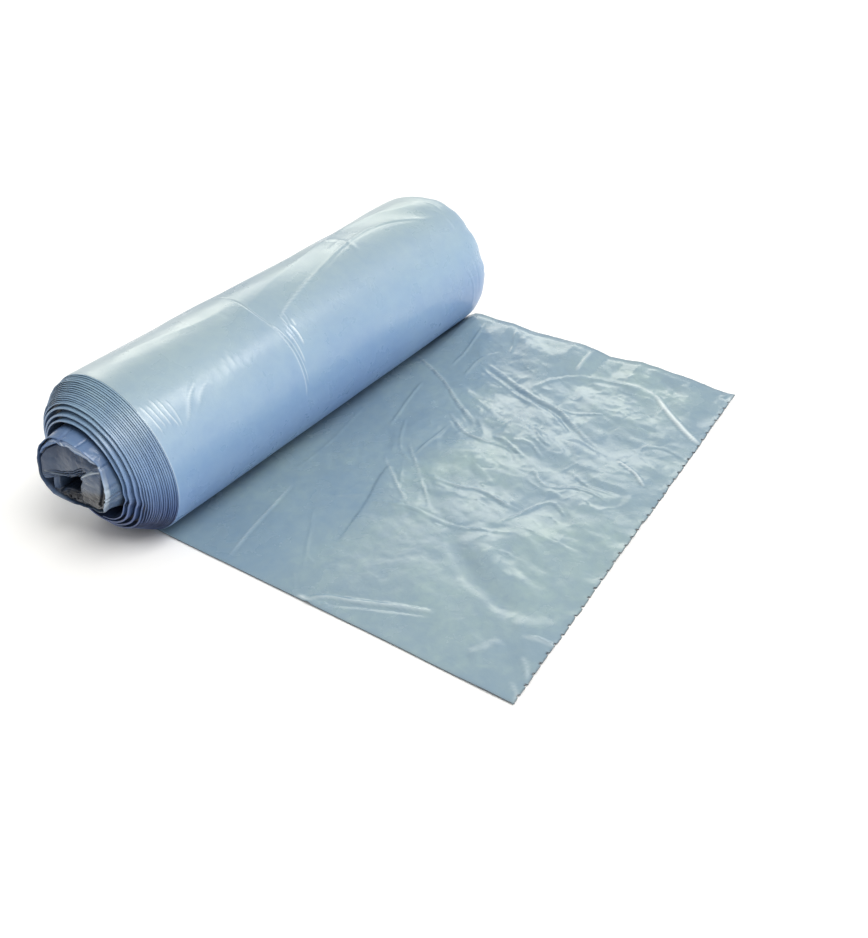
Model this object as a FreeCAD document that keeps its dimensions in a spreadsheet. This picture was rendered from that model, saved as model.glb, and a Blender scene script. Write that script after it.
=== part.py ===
import FreeCAD, Part
import os
import math
import Sketcher

# Roll of flat-folded film bags, wound without a core and lying on its side.
# The whole roll is one unbroken web: every turn, the loose end that lies on
# the floor and the crumpled middle are the same folded film, so it is one
# solid.
#
# Frame: +Z up, the floor is z = 0, the roll's axis runs along Y above the
# origin, the loose end runs towards +X.  The end whose middle stands out is
# at -Y.  The origin is the centre of the small flat strip that the soft roll
# rests on.

os.makedirs("parts", exist_ok=True)
doc = FreeCAD.newDocument("bin_bag_roll_document")

# ---------------------------------------------------------------- dimensions
sheet = doc.addObject("Spreadsheet::Sheet", "Params")
CELLS = [
    ("roll_radius", 42.8),        # outside of the outermost turn
    ("axis_height", 41.6),        # lower than the radius: the flat strip
    ("web_width", 254.0),         # length of every turn along the axis
    ("stair_radius", 33.4),       # inside of the tight outer turns
    ("stair_travel", 13.3),       # how far the tight turns have slid out
    ("ring_one_outer", 31.2),     # first loose turn
    ("ring_one_inner", 29.5),
    ("ring_one_travel", 15.3),
    ("ring_two_outer", 28.2),     # second loose turn
    ("ring_two_inner", 26.7),
    ("ring_two_travel", 17.0),
    ("bundle_radius", 24.8),      # crumpled middle turns
    ("bundle_travel", 24.6),
    ("gap_depth", 7.0),           # open gap between loose turns
    ("gap_depth_inner", 9.0),
    ("mouth_depth", 7.5),         # recess inside the rim of the middle
    ("film_stack", 1.0),          # loose end: eight plies with air between
    ("tail_near", 126.0),         # edges of the loose end across its width
    ("tail_far", 128.0),
    ("tail_reach", 232.0),        # before the torn end is trimmed
    ("lift_start", 60.0),         # where the far edge begins to rise
    ("lift_mid", 102.0),
    ("station_one", 4.0),         # stations along the loose end
    ("station_two", 30.0),
    ("station_three", 62.0),
    ("station_four", 108.0),
    ("station_five", 165.0),
    ("lift_two", 8.6),            # height of the far edge at each station
    ("lift_three", 8.0),
    ("lift_four", 7.0),
    ("lift_five", 4.2),
    ("lift_six", 0.8),
    ("torn_near_x", 228.2),       # torn end, at the near and the far edge
    ("torn_far_x", 206.4),
    ("nick_pitch", 6.5),          # torn perforation
    ("nick_width", 2.0),
    ("nick_depth", 1.3),
]
for row, (alias, value) in enumerate(CELLS, start=1):
    sheet.set("A%d" % row, alias)
    sheet.set("B%d" % row, str(value))
    sheet.setAlias("B%d" % row, alias)
doc.recompute()
P = {alias: float(sheet.get(alias)) for alias, _ in CELLS}

STAIR_TURNS = 18
NICKS = 38


def plane(body, role):
    return [f for f in body.Origin.OriginFeatures if f.Role == role][0]


def closed_sketch(body, name, role, points, offset="0", guide=None):
    """A closed outline whose corners are held by formulas on the sheet.

    Each corner is a pair of (value, formula) pairs.  The guide, when given,
    is one construction line held in the same way.
    """
    sk = body.newObject("Sketcher::SketchObject", name)
    sk.AttachmentSupport = [(plane(body, role), "")]
    sk.MapMode = "FlatFace"
    sk.setExpression(".AttachmentOffset.Base.z", offset)
    n = len(points)
    xy = [(p[0][0], p[1][0]) for p in points]
    lines = []
    for i in range(n):
        a, b = xy[i], xy[(i + 1) % n]
        lines.append(Part.LineSegment(FreeCAD.Vector(a[0], a[1], 0),
                                      FreeCAD.Vector(b[0], b[1], 0)))
    sk.addGeometry(lines, False)
    held, formulas = [], []
    for i in range(n):
        held.append(Sketcher.Constraint("Coincident", i, 2, (i + 1) % n, 1))
    for i in range(n):
        for kind, k in (("DistanceX", 0), ("DistanceY", 1)):
            formulas.append((len(held), points[i][k][1]))
            held.append(Sketcher.Constraint(kind, -1, 1, i, 1, xy[i][k]))
    if guide is not None:
        a, b = guide
        sk.addGeometry([Part.LineSegment(
            FreeCAD.Vector(a[0][0], a[1][0], 0),
            FreeCAD.Vector(b[0][0], b[1][0], 0))], True)
        for end, q in ((1, a), (2, b)):
            for kind, k in (("DistanceX", 0), ("DistanceY", 1)):
                formulas.append((len(held), q[k][1]))
                held.append(Sketcher.Constraint(kind, -1, 1, n, end, q[k][0]))
    sk.addConstraint(held)
    for index, formula in formulas:
        sk.setExpression("Constraints[%d]" % index, formula)
    return sk


def fixed(value):
    return value, "%.6f" % value


def mix(terms):
    """(value, formula) of a weighted sum of cells."""
    value = sum(w * P[a] for w, a in terms)
    return value, " + ".join("(%.8f) * Params.%s" % (w, a) for w, a in terms)


body = doc.addObject("PartDesign::Body", "bin_bag_roll")
body.Label = "bin_bag_roll"

# ------------------------------------------------------------- wound turns
# Half section of the roll, drawn in the YZ plane above the axis.  Every turn
# is as long as the web is wide.  The tight outer turns have slid out one by
# one towards -Y, so the near end is a stair and the far end sinks in the
# same stair.


def near(travel_terms, back=0.0, back_cell=None):
    terms = [(-0.5, "web_width")] + [(-w, a) for w, a in travel_terms]
    if back_cell:
        terms.append((back, back_cell))
    return mix(terms)


def far(travel_terms):
    return mix([(0.5, "web_width")] + [(-w, a) for w, a in travel_terms])


def height(radius_terms):
    return mix([(1.0, "axis_height")] + radius_terms)


def stair_radius(i):
    f = i / float(STAIR_TURNS)
    return [(1.0 - f, "roll_radius"), (f, "stair_radius")]


def stair_travel(i):
    f = i / float(STAIR_TURNS)
    return [(f, "stair_travel")]


section = []
# near end, from the outside inwards
for i in range(STAIR_TURNS):
    section.append((near(stair_travel(i)), height(stair_radius(i))))
    section.append((near(stair_travel(i)), height(stair_radius(i + 1))))
# gap behind the stair, then two loose turns with gaps, then the middle
floor_one = near([(1.0, "ring_one_travel")], 1.0, "gap_depth")
section.append((floor_one, height([(1.0, "stair_radius")])))
section.append((floor_one, height([(1.0, "ring_one_outer")])))
section.append((near([(1.0, "ring_one_travel")]), height([(1.0, "ring_one_outer")])))
section.append((near([(1.0, "ring_one_travel")]), height([(1.0, "ring_one_inner")])))
floor_two = near([(1.0, "ring_two_travel")], 1.0, "gap_depth")
section.append((floor_two, height([(1.0, "ring_one_inner")])))
section.append((floor_two, height([(1.0, "ring_two_outer")])))
section.append((near([(1.0, "ring_two_travel")]), height([(1.0, "ring_two_outer")])))
section.append((near([(1.0, "ring_two_travel")]), height([(1.0, "ring_two_inner")])))
floor_three = near([(1.0, "ring_two_travel")], 1.0, "gap_depth_inner")
section.append((floor_three, height([(1.0, "ring_two_inner")])))
section.append((floor_three, height([(1.0, "bundle_radius")])))
section.append((near([(1.0, "bundle_travel")]), height([(1.0, "bundle_radius")])))
section.append((near([(1.0, "bundle_travel")]), height([])))
# far end, from the axis outwards
section.append((far([(1.0, "bundle_travel")]), height([])))
section.append((far([(1.0, "bundle_travel")]), height([(1.0, "bundle_radius")])))
section.append((far([(1.0, "ring_two_travel")]), height([(1.0, "bundle_radius")])))
section.append((far([(1.0, "ring_two_travel")]), height([(1.0, "ring_one_inner")])))
section.append((far([(1.0, "ring_one_travel")]), height([(1.0, "ring_one_inner")])))
section.append((far([(1.0, "ring_one_travel")]), height([(1.0, "stair_radius")])))
for i in reversed(range(STAIR_TURNS)):
    section.append((far(stair_travel(i)), height(stair_radius(i + 1))))
    section.append((far(stair_travel(i)), height(stair_radius(i))))

turns_sketch = closed_sketch(
    body, "turns_half_section", "YZ_Plane", section,
    guide=((mix([(-1.0, "web_width")]), height([])),
           (mix([(1.0, "web_width")]), height([]))))
doc.recompute()
turns = body.newObject("PartDesign::Revolution", "wound_turns")
turns.Profile = turns_sketch
turns.ReferenceAxis = (turns_sketch, ["Axis0"])
turns.Angle = 360.0
doc.recompute()
turns_volume = turns.Shape.Volume

# ------------------------------------------------- mouth of the middle turns
# The innermost turns are pushed into a soft fold: a shallow recess inside
# their rim, and a squashed hollow that runs through the whole roll.
rim = [(-18.6, 4.0), (-16.2, 10.8), (-10.6, 16.6), (-2.0, 20.0), (7.4, 19.2),
       (14.6, 15.4), (19.6, 8.4), (20.4, 0.0), (17.2, -8.6), (9.6, -14.6),
       (-1.0, -17.2), (-10.8, -15.8), (-17.4, -10.8), (-19.6, -3.6)]


def on_section(points):
    base = P["bundle_radius"]
    return [(mix([(x / base, "bundle_radius")]),
             height([(z / base, "bundle_radius")])) for x, z in points]


rim_sketch = closed_sketch(body, "mouth_outline", "XZ_Plane", on_section(rim),
                           offset="0.5 * Params.web_width + Params.bundle_travel")
mouth = body.newObject("PartDesign::Pocket", "mouth_recess")
mouth.Profile = rim_sketch
mouth.Type = "Length"
mouth.setExpression("Length", "Params.mouth_depth")
doc.recompute()
mouth_volume = mouth.Shape.Volume

hollow = [(-17.6, -3.0), (-12.2, -0.4), (-7.0, -0.8), (-1.6, 0.8), (4.0, 4.4),
          (9.2, 7.6), (12.6, 6.4), (9.4, -0.8), (3.4, -5.0), (-3.0, -7.0),
          (-8.6, -8.8), (-13.2, -7.6), (-17.4, -9.0), (-16.0, -5.8)]
hollow_sketch = closed_sketch(body, "hollow_outline", "XZ_Plane",
                              on_section(hollow),
                              offset="0.5 * Params.web_width + Params.bundle_travel")
core = body.newObject("PartDesign::Pocket", "squashed_hollow")
core.Profile = hollow_sketch
core.Type = "ThroughAll"
doc.recompute()
core_volume = core.Shape.Volume

# ---------------------------------------------------------------- flat strip
# The soft roll settles on a strip: all below the floor is taken away.
big = (-60.0, 60.0, -190.0, 190.0)
flat_points = [(fixed(big[0]), fixed(big[2])), (fixed(big[1]), fixed(big[2])),
               (fixed(big[1]), fixed(big[3])), (fixed(big[0]), fixed(big[3]))]
flat_sketch = closed_sketch(body, "floor_outline", "XY_Plane", flat_points)
flat = body.newObject("PartDesign::Pocket", "flat_strip")
flat.Profile = flat_sketch
flat.Type = "Length"
flat.setExpression("Length", "Params.roll_radius")
doc.recompute()
flat_volume = flat.Shape.Volume

# ----------------------------------------------------------------- loose end
# The outer turn leaves the roll at the bottom and lies on the floor.  Its
# near edge is flat and its far edge rises off the floor, most beside the
# roll, so it is drawn as cross sections at stations along X.
stations = [("station_one", None), ("station_two", "lift_two"),
            ("station_three", "lift_three"), ("station_four", "lift_four"),
            ("station_five", "lift_five"), ("tail_reach", "lift_six")]
loft_sections = []
for name, lift in stations:
    def z(share, thick):
        terms = []
        if lift:
            terms.append((share, lift))
        if thick:
            terms.append((1.0, "film_stack"))
        return mix(terms) if terms else fixed(0.0)
    outline = [
        (mix([(-1.0, "tail_near")]), fixed(0.0)),
        (mix([(1.0, "lift_start")]), fixed(0.0)),
        (mix([(1.0, "lift_mid")]), z(0.34, False)),
        (mix([(1.0, "tail_far")]), z(1.0, False)),
        (mix([(1.0, "tail_far")]), z(1.0, True)),
        (mix([(1.0, "lift_mid")]), z(0.34, True)),
        (mix([(1.0, "lift_start")]), z(0.0, True)),
        (mix([(-1.0, "tail_near")]), z(0.0, True)),
    ]
    loft_sections.append(closed_sketch(
        body, "loose_end_at_" + name, "YZ_Plane", outline,
        offset="Params." + name))
doc.recompute()
tail = body.newObject("PartDesign::AdditiveLoft", "loose_end")
tail.Profile = loft_sections[0]
tail.Sections = loft_sections[1:]
tail.Ruled = True
doc.recompute()
tail_volume = tail.Shape.Volume

# torn end: a slanting cut right across, then the nicks of the perforation
cut_points = [
    (mix([(1.0, "torn_near_x"), (0.2, "torn_near_x"), (-0.2, "torn_far_x")]),
     mix([(-1.2, "tail_near"), (-0.2, "tail_far")])),
    (mix([(1.0, "tail_reach"), (1.0, "web_width")]),
     mix([(-1.2, "tail_near"), (-0.2, "tail_far")])),
    (mix([(1.0, "tail_reach"), (1.0, "web_width")]),
     mix([(1.2, "tail_far"), (0.2, "tail_near")])),
    (mix([(1.2, "torn_far_x"), (-0.2, "torn_near_x")]),
     mix([(1.2, "tail_far"), (0.2, "tail_near")])),
]
cut_sketch = closed_sketch(body, "torn_end_outline", "XY_Plane", cut_points)
cut = body.newObject("PartDesign::Pocket", "torn_end")
cut.Profile = cut_sketch
cut.Type = "ThroughAll"
cut.Midplane = True
doc.recompute()
cut_volume = cut.Shape.Volume

# one nick at the near corner, repeated along the torn end
length = math.hypot(P["torn_near_x"] - P["torn_far_x"],
                    P["tail_near"] + P["tail_far"])
ux = (P["torn_far_x"] - P["torn_near_x"]) / length
uy = (P["tail_near"] + P["tail_far"]) / length
# inwards normal of the torn end, towards the roll
nx, ny = -uy, ux


def along(s_terms, d_terms):
    """A corner s along the torn end and d in from it."""
    x = [(1.0, "torn_near_x")] + [(w * ux, a) for w, a in s_terms] + \
        [(w * nx, a) for w, a in d_terms]
    y = [(-1.0, "tail_near")] + [(w * uy, a) for w, a in s_terms] + \
        [(w * ny, a) for w, a in d_terms]
    return mix(x), mix(y)


nick_points = [
    along([(0.62, "nick_pitch"), (-0.5, "nick_width")], [(-1.0, "nick_depth")]),
    along([(0.62, "nick_pitch"), (0.5, "nick_width")], [(-1.0, "nick_depth")]),
    along([(0.62, "nick_pitch"), (0.5, "nick_width")], [(0.5, "nick_depth")]),
    along([(0.62, "nick_pitch")], [(1.0, "nick_depth")]),
    along([(0.62, "nick_pitch"), (-0.5, "nick_width")], [(0.5, "nick_depth")]),
]
nick_sketch = closed_sketch(
    body, "nick_outline", "XY_Plane", nick_points,
    guide=(along([], [(4.0, "nick_depth")]),
           along([(8.0, "nick_pitch")], [(4.0, "nick_depth")])))
nick = body.newObject("PartDesign::Pocket", "perforation_nick")
nick.Profile = nick_sketch
nick.Type = "ThroughAll"
nick.Midplane = True
doc.recompute()
nick_volume = nick.Shape.Volume

row = body.newObject("PartDesign::LinearPattern", "perforation_row")
row.Originals = [nick]
row.Direction = (nick_sketch, ["Axis0"])
row.Mode = "Spacing"
row.setExpression("Offset", "Params.nick_pitch")
row.Occurrences = NICKS
body.Tip = row
doc.recompute()

# -------------------------------------------------------------------- checks
steps = [("wound_turns", turns_volume), ("mouth_recess", mouth_volume),
         ("squashed_hollow", core_volume), ("flat_strip", flat_volume),
         ("loose_end", tail_volume), ("torn_end", cut_volume),
         ("perforation_nick", nick_volume), ("perforation_row", row.Shape.Volume)]
for name, volume in steps:
    print("%-18s %.2f mm3" % (name, volume))
assert mouth_volume < turns_volume and core_volume < mouth_volume
assert flat_volume < core_volume and tail_volume > flat_volume
assert cut_volume < tail_volume and nick_volume < cut_volume
assert row.Shape.Volume < nick_volume - 0.5 * (NICKS - 1) * (cut_volume - nick_volume)

bad = [o.Name for o in doc.Objects
       if "Invalid" in o.State or "Error" in o.State]
if bad:
    raise RuntimeError("features that failed: " + ", ".join(bad))

for part in (body,):
    shape = part.Shape
    if shape.isNull() or not shape.isValid() or len(shape.Solids) != 1:
        raise RuntimeError("%s is not one valid solid" % part.Label)
    box = shape.optimalBoundingBox(False)
    print("%s: volume %.0f mm3, faces %d, box x %.2f..%.2f y %.2f..%.2f z %.2f..%.2f" % (
        part.Label, shape.Volume, len(shape.Faces), box.XMin, box.XMax,
        box.YMin, box.YMax, box.ZMin, box.ZMax))
    shape.exportStep(os.path.join("parts", part.Label + ".step"))
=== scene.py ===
import math
import bpy
import numpy as np
from mathutils import Matrix, Vector


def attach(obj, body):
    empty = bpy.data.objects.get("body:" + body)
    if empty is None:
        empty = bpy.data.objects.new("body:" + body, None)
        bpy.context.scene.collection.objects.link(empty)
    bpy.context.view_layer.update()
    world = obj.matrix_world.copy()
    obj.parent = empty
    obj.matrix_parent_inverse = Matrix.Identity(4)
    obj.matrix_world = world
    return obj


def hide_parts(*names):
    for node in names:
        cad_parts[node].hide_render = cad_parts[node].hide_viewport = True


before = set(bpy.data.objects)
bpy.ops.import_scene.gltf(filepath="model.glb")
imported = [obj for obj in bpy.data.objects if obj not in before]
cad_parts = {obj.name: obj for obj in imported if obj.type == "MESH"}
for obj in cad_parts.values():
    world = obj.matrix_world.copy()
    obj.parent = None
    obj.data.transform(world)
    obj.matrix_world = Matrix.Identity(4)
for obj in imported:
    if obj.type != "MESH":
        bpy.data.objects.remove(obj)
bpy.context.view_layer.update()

# All shapes below are worked out in millimetres and scaled when a mesh is
# made.  X runs along the loose end, Y along the roll's axis (the stepped end
# is at -Y) and Z up from the floor.
MM = 0.001
R = 42.8          # outermost turn
ZC = 41.6         # height of the axis: the roll has settled on a flat strip
HALF = 127.0      # half the web's width
R_STAIR = 33.4    # inside of the tight turns
P_STAIR = 13.3    # how far the tight turns have slid out
TURNS = 16        # steps to be seen in the tight turns
NEAR, FAR = -126.0, 128.0
X_NEAR, X_FAR = 228.2, 206.4    # torn end at the near and the far edge
NICK_PITCH, NICK_WIDTH, NICK_DEPTH = 6.5, 1.5, 0.85


# ----------------------------------------------------------------- helpers
def smooth(t):
    t = np.clip(t, 0.0, 1.0)
    return t * t * (3.0 - 2.0 * t)


def noise(x, y, seed, wrap=64):
    """Smooth noise between -1 and 1, one cell a unit, x repeats after wrap."""
    table = np.random.RandomState(seed).uniform(-1, 1, (64, 64))
    x, y = np.broadcast_arrays(np.asarray(x, float), np.asarray(y, float))
    xi, yi = np.floor(x).astype(int), np.floor(y).astype(int)
    fx, fy = x - xi, y - yi
    fx = fx * fx * fx * (fx * (fx * 6 - 15) + 10)
    fy = fy * fy * fy * (fy * (fy * 6 - 15) + 10)
    x0, x1 = xi % wrap % 64, (xi + 1) % wrap % 64
    y0, y1 = yi % 64, (yi + 1) % 64
    a = table[x0, y0] + (table[x1, y0] - table[x0, y0]) * fx
    b = table[x0, y1] + (table[x1, y1] - table[x0, y1]) * fx
    return a + (b - a) * fy


def facets(u, v, seed, wrap=64, warp=0.42):
    """Crumpled film: flat facets between creases, one facet a unit."""
    u, v = np.broadcast_arrays(np.asarray(u, float), np.asarray(v, float))
    du = warp * noise(u * 0.9, v * 0.9, seed + 1, wrap) if wrap == 64 else \
        warp * noise(u, v * 0.9, seed + 1, wrap)
    dv = warp * noise(u if wrap != 64 else u * 0.9, v * 0.9 + 17.3, seed + 2, wrap)
    u, v = u + du, v + dv
    rng = np.random.RandomState(seed)
    height = rng.uniform(-1, 1, (64, 64))
    diagonal = rng.uniform(0, 1, (64, 64)) > 0.5
    ui, vi = np.floor(u).astype(int), np.floor(v).astype(int)
    a, b = u - ui, v - vi
    i0, i1 = ui % wrap % 64, (ui + 1) % wrap % 64
    j0, j1 = vi % 64, (vi + 1) % 64
    h00, h10 = height[i0, j0], height[i1, j0]
    h01, h11 = height[i0, j1], height[i1, j1]
    one = np.where(a + b < 1, h00 + a * (h10 - h00) + b * (h01 - h00),
                   h11 + (1 - a) * (h01 - h11) + (1 - b) * (h10 - h11))
    two = np.where(a > b, h00 + a * (h10 - h00) + b * (h11 - h10),
                   h00 + b * (h01 - h00) + a * (h11 - h01))
    return np.where(diagonal[i0, j0], one, two)


def curve(points, count=14):
    """A smooth line through the points (Catmull-Rom)."""
    p = np.array(points, float)
    if len(p) < 3:
        t = np.linspace(0, 1, count)[:, None]
        return p[0] + (p[-1] - p[0]) * t
    q = np.vstack([2 * p[0] - p[1], p, 2 * p[-1] - p[-2]])
    out = []
    per = max(3, count // (len(p) - 1))
    for i in range(1, len(q) - 2):
        t = np.linspace(0, 1, per, endpoint=False)[:, None]
        out.append(0.5 * (2 * q[i] + (q[i + 1] - q[i - 1]) * t
                          + (2 * q[i - 1] - 5 * q[i] + 4 * q[i + 1] - q[i + 2]) * t ** 2
                          + (3 * q[i] - q[i - 1] - 3 * q[i + 1] + q[i + 2]) * t ** 3))
    return np.vstack(out + [p[-1:]])


def crease(x, y, points, width, high, kind="ridge", blunt=0.18):
    """Height added by one fold in the film, along a line of points."""
    out = np.zeros(x.shape)
    line = curve(points)
    reach = width * (6.0 if kind == "step" else 1.0)
    box = ((x > line[:, 0].min() - reach) & (x < line[:, 0].max() + reach)
           & (y > line[:, 1].min() - reach) & (y < line[:, 1].max() + reach))
    if not box.any():
        return out
    px, py = x[box], y[box]
    best = np.full(px.shape, 1e9)
    where = np.zeros(px.shape)
    side = np.ones(px.shape)
    n = len(line) - 1
    for i in range(n):
        a, b = line[i], line[i + 1]
        ab = b - a
        size = ab @ ab + 1e-12
        t = np.clip(((px - a[0]) * ab[0] + (py - a[1]) * ab[1]) / size, 0, 1)
        dx, dy = px - a[0] - t * ab[0], py - a[1] - t * ab[1]
        d = np.hypot(dx, dy)
        nearer = d < best
        best = np.where(nearer, d, best)
        where = np.where(nearer, (i + t) / n, where)
        side = np.where(nearer, np.sign(ab[0] * dy - ab[1] * dx), side)
    ends = np.clip(np.minimum(where, 1 - where) / blunt, 0, 1) ** 0.6
    if kind == "ridge":
        h = np.clip(1 - best / width, 0, 1) ** 1.35
    elif kind == "soft":
        h = smooth(1 - best / width)
    elif kind == "tube":
        h = np.sqrt(np.clip(1 - (best / width) ** 2, 0, 1))
    else:
        h = side * np.tanh(best / (0.35 * width)) * smooth(1 - best / reach)
    out[box] = high * ends * h
    return out


def grid(name, p, close_u=False, close_v=False, flip=False, merge=0.0, shade=None, pale=None):
    """A mesh of quads from an array of points in millimetres."""
    nu, nv = p.shape[:2]
    index = np.arange(nu * nv).reshape(nu, nv)
    a = index if close_u else index[:-1]
    a = a if close_v else a[:, :-1]
    i = np.arange(a.shape[0])[:, None]
    j = np.arange(a.shape[1])[None, :]
    i1, j1 = (i + 1) % nu, (j + 1) % nv
    f = np.stack([index[i, j], index[i1, j], index[i1, j1], index[i, j1]], -1)
    f = f.reshape(-1, 4)
    if flip:
        f = f[:, ::-1]
    flat = [None if q is None else np.broadcast_to(q, p.shape[:2]).ravel() for q in (shade, pale)]
    return mesh(name, p.reshape(-1, 3), f, merge, *flat)


def mesh(name, points, faces, merge=0.0, shade=None, pale=None):
    me = bpy.data.meshes.new(name)
    me.from_pydata((np.asarray(points) * MM).tolist(), [], np.asarray(faces).tolist())
    me.polygons.foreach_set("use_smooth", [True] * len(me.polygons))
    me.update()
    tone = me.attributes.new("shade", "FLOAT", "POINT")
    tone.data.foreach_set("value", np.ones(len(me.vertices)) if shade is None
                          else np.ascontiguousarray(shade, dtype=float))
    # how much painted highlight each point gets
    white = me.attributes.new("painted_highlight", "FLOAT", "POINT")
    white.data.foreach_set("value", np.zeros(len(me.vertices)) if pale is None
                           else np.ascontiguousarray(pale, dtype=float))
    ob = bpy.data.objects.new(name, me)
    bpy.context.scene.collection.objects.link(ob)
    if merge:
        import bmesh
        bm = bmesh.new()
        bm.from_mesh(me)
        bmesh.ops.remove_doubles(bm, verts=bm.verts, dist=merge * MM)
        bmesh.ops.dissolve_degenerate(bm, dist=1e-8, edges=bm.edges)
        bm.to_mesh(me)
        bm.free()
    return ob


# --------------------------------------------------------------- materials
# pale colour that painted highlights mix towards
PAINTED_HIGHLIGHT_COLOUR = (0.66, 0.74, 0.78)
# painted light and shade by height above the floor, bluer and darker low down and warmer on top: share of the roll's
# height, colour
ROLL_HEIGHT_SHADING = [(0.0, (0.80, 0.90, 1.0)), (1.0, (0.90, 0.88, 0.68)), (0.30, (0.80, 0.90, 1.0)), (0.50, (0.78, 0.88, 0.92)),
             (0.70, (0.97, 1.0, 0.90)), (0.87, (1.0, 0.98, 0.82))]
END_HEIGHT_SHADING = [(0.0, (0.18, 0.23, 0.34)), (1.0, (1.0, 0.99, 0.72)), (0.18, (0.22, 0.27, 0.41)), (0.32, (0.42, 0.48, 0.61)),
            (0.50, (0.78, 0.83, 0.82)), (0.75, (0.90, 0.88, 0.73))]


def link(nt, a, b):
    nt.links.new(a, b)


def film(name, base, pale, deep, rough=(0.26, 0.42), bump=0.35, grain=420.0,
         sheen=0.02, crumple=None, hollow=None, shade_by_height=None):
    """Thin polyethylene film: soft gloss, faint mottling and fine wrinkles."""
    m = bpy.data.materials.new(name)
    m.use_nodes = True
    nt = m.node_tree
    nodes = nt.nodes
    bsdf = nodes["Principled BSDF"]
    coord = nodes.new("ShaderNodeTexCoord")

    def tex(scale, detail, rough_, dist=0.0, stretch=None):
        n = nodes.new("ShaderNodeTexNoise")
        n.inputs["Scale"].default_value = scale
        n.inputs["Detail"].default_value = detail
        n.inputs["Roughness"].default_value = rough_
        n.inputs["Distortion"].default_value = dist
        if stretch is None:
            link(nt, coord.outputs["Object"], n.inputs["Vector"])
        else:
            mp = nodes.new("ShaderNodeMapping")
            mp.inputs["Scale"].default_value = stretch[0]
            mp.inputs["Rotation"].default_value = stretch[1]
            link(nt, coord.outputs["Object"], mp.inputs["Vector"])
            link(nt, mp.outputs["Vector"], n.inputs["Vector"])
        return n

    broad = tex(14.0, 3.0, 0.5, 0.6)
    fine = tex(160.0, 4.0, 0.6, 0.4)
    ramp = nodes.new("ShaderNodeValToRGB")
    ramp.color_ramp.elements[0].position = 0.32
    ramp.color_ramp.elements[0].color = (*deep, 1)
    ramp.color_ramp.elements[1].position = 0.68
    ramp.color_ramp.elements[1].color = (*pale, 1)
    mid = ramp.color_ramp.elements.new(0.5)
    mid.color = (*base, 1)
    mix = nodes.new("ShaderNodeMix")
    mix.data_type = "FLOAT"
    mix.inputs[0].default_value = 0.35
    link(nt, broad.outputs["Fac"], mix.inputs[2])
    link(nt, fine.outputs["Fac"], mix.inputs[3])
    link(nt, mix.outputs[0], ramp.inputs["Fac"])
    surface = ramp.outputs["Color"]
    if shade_by_height:
        # painted light and shade by height: the colour deepens to blue towards the floor and warms on top
        apart = nodes.new("ShaderNodeSeparateXYZ")
        link(nt, coord.outputs["Object"], apart.inputs[0])
        span = nodes.new("ShaderNodeMapRange")
        span.inputs["From Min"].default_value = 0.0
        span.inputs["From Max"].default_value = 0.0844
        link(nt, apart.outputs["Z"], span.inputs["Value"])
        height_shade_ramp = nodes.new("ShaderNodeValToRGB")
        for i, (at_z, colour_z) in enumerate(shade_by_height):
            stop = height_shade_ramp.color_ramp.elements[i] if i < 2 else height_shade_ramp.color_ramp.elements.new(at_z)
            stop.position = at_z
            stop.color = (*colour_z, 1)
        link(nt, span.outputs["Result"], height_shade_ramp.inputs["Fac"])
        times = nodes.new("ShaderNodeMix")
        times.data_type = "RGBA"
        times.blend_type = "MULTIPLY"
        times.inputs["Factor"].default_value = 1.0
        link(nt, surface, times.inputs["A"])
        link(nt, height_shade_ramp.outputs["Color"], times.inputs["B"])
        surface = times.outputs["Result"]
    # painted shade: the shade attribute mixes the colour towards the dark colour given as hollow
    if hollow:
        at = nodes.new("ShaderNodeAttribute")
        at.attribute_type = "GEOMETRY"
        at.attribute_name = "shade"
        dark = nodes.new("ShaderNodeMix")
        dark.data_type = "RGBA"
        dark.inputs["A"].default_value = (*hollow, 1)
        link(nt, at.outputs["Fac"], dark.inputs["Factor"])
        link(nt, surface, dark.inputs["B"])
        colour = dark.outputs["Result"]
    else:
        colour = surface
    # painted highlights: a per-point attribute mixes the colour towards a pale colour where glints and bright folds are
    # painted
    st = nodes.new("ShaderNodeAttribute")
    st.attribute_type = "GEOMETRY"
    st.attribute_name = "painted_highlight"
    white = nodes.new("ShaderNodeMix")
    white.data_type = "RGBA"
    white.inputs["B"].default_value = (*PAINTED_HIGHLIGHT_COLOUR, 1)
    link(nt, st.outputs["Fac"], white.inputs["Factor"])
    link(nt, colour, white.inputs["A"])
    link(nt, white.outputs["Result"], bsdf.inputs["Base Color"])

    rr = nodes.new("ShaderNodeMapRange")
    rr.inputs["To Min"].default_value = rough[0]
    rr.inputs["To Max"].default_value = rough[1]
    rr.inputs["From Min"].default_value = 0.3
    rr.inputs["From Max"].default_value = 0.7
    rn = tex(55.0, 4.0, 0.55, 0.3)
    link(nt, rn.outputs["Fac"], rr.inputs["Value"])
    link(nt, rr.outputs["Result"], bsdf.inputs["Roughness"])

    crinkle = tex(grain, 3.0, 0.55, 0.8)
    wide = tex(grain * 0.22, 3.0, 0.5, 1.2)
    add = nodes.new("ShaderNodeMix")
    add.data_type = "FLOAT"
    add.inputs[0].default_value = 0.55
    link(nt, crinkle.outputs["Fac"], add.inputs[2])
    link(nt, wide.outputs["Fac"], add.inputs[3])
    height = add.outputs[0]
    if crumple:
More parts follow.
